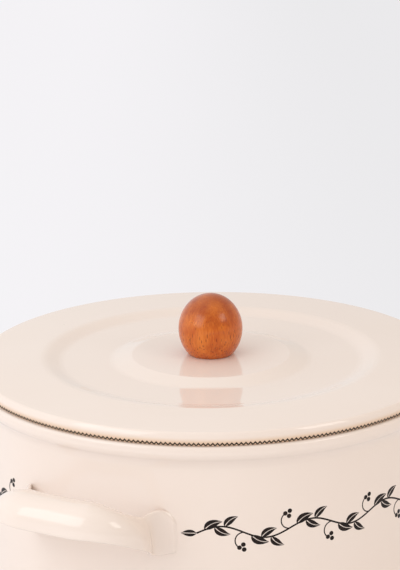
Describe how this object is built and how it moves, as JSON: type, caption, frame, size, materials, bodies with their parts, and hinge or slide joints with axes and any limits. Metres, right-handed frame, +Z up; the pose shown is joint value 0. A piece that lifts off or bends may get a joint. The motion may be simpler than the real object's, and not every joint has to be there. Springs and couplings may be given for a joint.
{
  "type": "lidded enamel cooking pot",
  "caption": "Round enamelled cooking pot with a flat lift-off lid, a wooden ball knob and side loop handles; holds and heats food and liquids.",
  "frame": {"origin": "centre of the flat ring that the pot stands on, at table height", "axes": "+Z up; +X and -X through the two side handles, the handle in the picture on -X"},
  "size_m": [0.3294, 0.25, 0.1698],
  "materials": {
    "enamel": "gloss cream vitreous enamel on pressed steel",
    "knob_wood": "satin lacquered red-brown wood",
    "insert_brass": "plain turned",
    "screw_steel": "bright stainless",
    "washer_rubber": "off-white silicone"
  },
  "bodies": {
    "pot": {"pot_body": "enamel", "handle_left": "enamel", "handle_right": "enamel"},
    "lid": {"lid": "enamel", "knob": "knob_wood", "knob_insert": "insert_brass", "knob_screw": "screw_steel", "screw_washer": "screw_steel", "soft_washer": "washer_rubber"}
  },
  "joints": [
    {"name": "lid_lift", "type": "slide", "parent": "pot", "child": "lid", "axis": [0, 0, 1], "range_m": [0, 0.12]}
  ]
}
